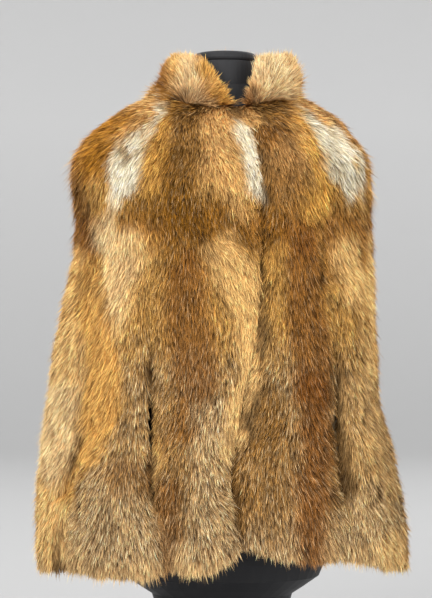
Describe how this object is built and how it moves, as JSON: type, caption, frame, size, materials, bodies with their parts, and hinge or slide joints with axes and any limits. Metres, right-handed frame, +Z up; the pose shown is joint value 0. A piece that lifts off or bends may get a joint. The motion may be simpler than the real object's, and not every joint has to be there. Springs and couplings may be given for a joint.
{
  "type": "fur cape on a dress form",
  "caption": "Hip-length cape of red fox pelts with a stand-up collar and arm slits, on a black limbless dress form with a short pole and round base.",
  "frame": {"origin": "middle of the round base's underside, on the surface that the form stands on", "axes": "+Z up along the pole, -Y out of the cape's front, +X towards the wearer's left"},
  "size_m": [0.6165, 0.463, 1.0563],
  "materials": {
    "body_fur": "red fox fur, rust brown and golden, with dark hairs and white flashes",
    "collar_fur": "pale red fox fur, cream at the tips",
    "form_jersey": "smooth black stretch cover",
    "form_enamel": "black, satin",
    "stand_enamel": "black, satin"
  },
  "bodies": {
    "root": {"front_right": "body_fur", "front_left": "body_fur", "side_front_right": "body_fur", "side_front_left": "body_fur", "side_right": "body_fur", "side_left": "body_fur", "side_back_right": "body_fur", "side_back_left": "body_fur", "back_right": "body_fur", "back_left": "body_fur", "collar_right": "collar_fur", "collar_left": "collar_fur", "form_torso": "form_jersey", "form_neck_cap": "form_enamel", "stand_flange": "stand_enamel", "stand_pole": "stand_enamel", "stand_base": "stand_enamel"}
  },
  "joints": []
}
